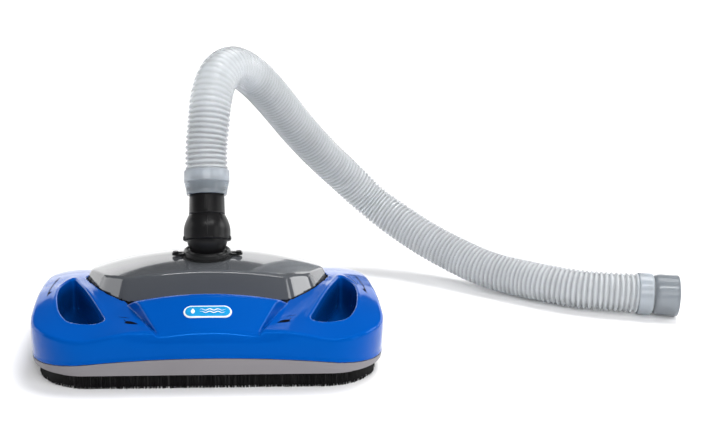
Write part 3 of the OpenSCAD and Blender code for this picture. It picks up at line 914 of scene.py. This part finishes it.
def blade(top, tip, foot, out):
    """A thin three-sided blade from the brush top down to its foot at the tip."""
    side = (-out[1], out[0])
    middle = (0.6 * top[0] + 0.4 * tip[0], 0.6 * top[1] + 0.4 * tip[1])
    points = []
    for (x, y), z, w in ((top, BRUSH_TOP, 0.6), (middle, 7, 0.55), (tip, foot, 0.32)):
        points.append((x - side[0] * w - out[0] * w * 0.5, y - side[1] * w - out[1] * w * 0.5, z))
        points.append((x + side[0] * w - out[0] * w * 0.5, y + side[1] * w - out[1] * w * 0.5, z))
        points.append((x + out[0] * w, y + out[1] * w, z))
    faces = [(k, k + 3, n + 3, n) for level in (0, 3) for k, n in
        ((level, level + 1), (level + 1, level + 2), (level + 2, level))]
    return points, faces + [(6, 7, 8)]


def make_brush():
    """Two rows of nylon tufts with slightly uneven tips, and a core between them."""
    rng = np.random.default_rng(7)
    around = ring_length(BRUSH_HALF, BRUSH_CORNER)
    count = int(around / TUFT_PITCH)
    points, faces = [], []
    for row in (-BRUSH_EDGE, BRUSH_EDGE):
        for i in range(count):
            base = around * (i + rng.uniform(-0.08, 0.08)) / count
            for _ in range(TUFT_BLADES):
                x, y, out = ring_point(base + rng.uniform(-1.25, 1.25), row + rng.uniform(-0.7, 0.7))
                splay = 0.22 * row + rng.uniform(-0.5, 0.5)
                drift = rng.uniform(-0.8, 0.8)
                foot = rng.uniform(0.1, 1.0)
                tip = (x + out[0] * splay - out[1] * drift, y + out[1] * splay + out[0] * drift)
                shift = len(points)
                more, more_faces = blade((x, y), tip, foot, out)
                points += more
                faces += [tuple(shift + k for k in f) for f in more_faces]
    piece = add_mesh("brush_tufts", points, faces, bristle_nylon, "head", "bristle", smooth=False)
    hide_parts("bristle_ring")
    core = []
    loops = [(-4.0, BRUSH_TOP, False), (-3.6, 1.6, True), (-1.5, 0.8, True),
        (1.5, 0.8, True), (3.6, 1.6, True), (3.9, BRUSH_TOP, False)]
    for offset, z, rough in loops:
        for i in range(count):
            x, y, _ = ring_point(around * i / count, offset)
            core.append((x, y, z + (rng.uniform(0.0, 0.7) if rough else 0.0)))
    faces = ring_faces(len(loops), count, True)
    add_mesh("brush_core", core, faces, bristle_nylon, "head", "bristle", smooth=False)


RIM_LOW = 15.2


def make_deck_rim():
    """The deck's outer rim between the brush and the shell's arched lower edge."""
    around = ring_length(SHELL_HALF, SHELL_CORNER)
    count = 240
    points = []
    for offset, on_top in ((-1.2, False), (-0.5, True), (-5.2, True), (-5.2, False)):
        for i in range(count):
            x, y, _ = ring_point(around * i / count, offset, SHELL_HALF, SHELL_CORNER)
            points.append((x, y, float(lower_edge(x)) - 0.25 if on_top else RIM_LOW))
    faces = ring_faces(4, count, True)
    piece = add_mesh("deck_rim", points, faces, deck_plastic, "head", "deck_plastic")
    piece.data.set_sharp_from_angle(angle=SHARP_ANGLE)


def shell_height(x, y):
    """Height of the shell's skin above a place in plan, found step by step from the wing's height."""
    z = float(wing_height(np.array([x]), np.array([y]))[0])
    for _ in range(6):
        z -= float(shell_outside(np.array([x]), np.array([y]), np.array([z]))[0])
    return z


def surface_ribbon(line, half_width, lift=0.12):
    """Thin strip that follows the shell's surface along a line in plan."""
    line = np.asarray(line, float)
    points = []
    for (x, y), (dx, dy), w in zip(line, unit_directions(line), half_width):
        for k in (-1, 1):
            px, py = x - k * w * dy, y + k * w * dx
            points.append((px, py, shell_height(px, py) + lift))
    return points, strip_faces(len(line))


SLOT_START = 46.0
SLOT_LENGTH = 72.0


def slot_reach(t):
    """How far out a wing's slot runs, for t from 0 to 1 along it."""
    return 169.5 + 4.2 * np.sin(t * 1.9)


def make_slot_shade():
    """Dark strips on the wings and beside the brow over the shell's slots and windows; they paint the shade
    inside the openings.
    """
    slots = []
    for side in (-1, 1):
        t = np.linspace(0, 1, 14)
        arc = np.stack([side * slot_reach(t), SLOT_START - SLOT_LENGTH * t], 1)
        slots.append(surface_ribbon(arc, 0.3 + 0.25 * np.sin(np.linspace(0.1, 3.0, 14))))
        for y, length, width, inwards in ((29.0, 9.0, 0.9, 0.0), (-17.0, 7.0, 1.3, 1.0)):
            x = side * (slot_reach((SLOT_START - y) / SLOT_LENGTH) - inwards)
            window = [(x - side, y + length / 2), (x, y), (x + side * 0.5, y - length / 2)]
            slots.append(surface_ribbon(window, [width] * 3, 0.18))
        rear_slit = [(side * 92, -84), (side * 86, -86), (side * 81, -88)]
        slots.append(surface_ribbon(rear_slit, [0.3, 0.5, 0.3]))
        front_slit = [(side * 86, -91), (side * 84, -96), (side * 81, -98.5)]
        slots.append(surface_ribbon(front_slit, [0.3, 0.4, 0.4]))
        hook = [(side * 84, -98), (side * 80, -99.5), (side * 76, -101.5), (side * 71, -104)]
        slots.append(surface_ribbon(hook, [2.6, 3.2, 2.6, 0.5], 0.15))
    add_mesh("shell_slots", *join(slots), slot_painted_shade, "head", "black_plastic")


make_flange()
make_badge()
make_brush()
make_deck_rim()
make_slot_shade()

# ---------------------------------------------------------------- materials for the CAD pieces

CAD_MATERIALS = [
    (deck_plastic, ("lower_deck", "intake_duct", "turbine_housing", "gear_plate")),
    (black_plastic, ("brush_backing", "hood_clips", "side_inserts", "flange_screws", "ball_stem")),
    (acetal, ("glide_pads", "turbine_pinion", "idler_gear", "swivel_gear", "thrust_washer")),
    (steel, ("deck_screws", "hammer_pin", "turbine_shaft", "gear_plate_screws", "idler_pin")),
    (amber, ("hammer", "turbine_wheel")),
    (rubber, ("strike_pads", "cuff_seal")),
    (foam, ("float_blocks",)),
    (iron, ("ballast_weight",)),
]

for material, names in CAD_MATERIALS:
    for name in names:
        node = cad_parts[name]
        node.data.materials.clear()
        node.data.materials.append(material)

# ---------------------------------------------------------------- floor and light


def make_floor():
    """Pale floor that glows a little; it is staging and not part of the object."""
    s = Shader("studio_floor", (0.86, 0.87, 0.88), 0.6)
    s.tint(s.noise(1.5, 2.0), (0.85, 0.85, 0.86), (0.87, 0.87, 0.88))
    s.set("Emission Color", (1.0, 1.0, 1.0, 1.0))
    s.set("Emission Strength", 0.06)
    size = 8.0
    count = 16
    step = 2 * size / count
    points = [(-size + i * step, -size + j * step, 0.0) for j in range(count + 1) for i in range(count + 1)]
    mesh = bpy.data.meshes.new("studio_floor")
    mesh.from_pydata(points, [], grid_faces(count + 1, count + 1))
    floor = bpy.data.objects.new("studio_floor", mesh)
    mesh.materials.append(s.material)
    bpy.context.scene.collection.objects.link(floor)


def softbox(name, place, target, size, power, shows=True):
    """Area light; one that does not show lights the part without being mirrored in it."""
    data = bpy.data.lights.new(name, "AREA")
    data.shape = "RECTANGLE"
    data.size, data.size_y = size
    data.energy = power
    lamp = bpy.data.objects.new(name, data)
    lamp.location = place
    lamp.rotation_euler = (Vector(target) - Vector(place)).to_track_quat("-Z", "Y").to_euler()
    lamp.visible_glossy = shows
    bpy.context.scene.collection.objects.link(lamp)


def make_backdrop():
    """A glowing white wall far behind the part; glossy covers reflect it at a low angle."""
    s = Shader("studio_wall", (0.8, 0.8, 0.8), 0.8)
    s.set("Emission Color", (1.0, 1.0, 1.0, 1.0))
    s.set("Emission Strength", 0.8)
    s.tint(s.noise(1.5, 2.0), (0.79, 0.79, 0.79), (0.81, 0.81, 0.81))
    heights = (-0.01, 0.6, 1.2)
    angles = np.linspace(-1.1, 1.1, 13)
    points = [(3.2 * math.sin(a), 3.0 * math.cos(a), z) for z in heights for a in angles]
    mesh = bpy.data.meshes.new("studio_wall")
    mesh.from_pydata(points, [], grid_faces(len(heights), len(angles)))
    mesh.materials.append(s.material)
    wall = bpy.data.objects.new("studio_wall", mesh)
    bpy.context.scene.collection.objects.link(wall)


def light_studio():
    """A dim world, two soft lights that are not mirrored in the part, and four that are."""
    world = bpy.data.worlds.new("studio")
    world.use_nodes = True
    back = world.node_tree.nodes["Background"]
    back.inputs["Color"].default_value = (1.0, 1.0, 1.0, 1.0)
    back.inputs["Strength"].default_value = 0.05
    bpy.context.scene.world = world
    softbox("key", (1.0, 1.5, 4.0), (0.15, 0.0, 0.0), (2.2, 1.8), 172.0, False)
    softbox("front_fill", (0.0, -3.0, 1.6), (0.1, 0.0, 0.05), (2.0, 1.0), 62.0, False)
    softbox("front_strip", (0.25, -0.7, 1.4), (0.15, 0.0, 0.1), (1.2, 0.1), 9.0)
    softbox("front_right", (1.25, -0.95, 0.6), (0.0, 0.0, 0.12), (0.35, 0.9), 3.5)
    softbox("left_card", (-1.6, 0.35, 0.5), (0.0, 0.0, 0.08), (0.8, 0.8), 4.0)
    softbox("right_card", (1.5, 0.1, 0.75), (0.0, 0.0, 0.08), (0.8, 0.6), 7.5)


make_backdrop()
make_floor()
light_studio()
bpy.context.scene.view_settings.view_transform = "Standard"
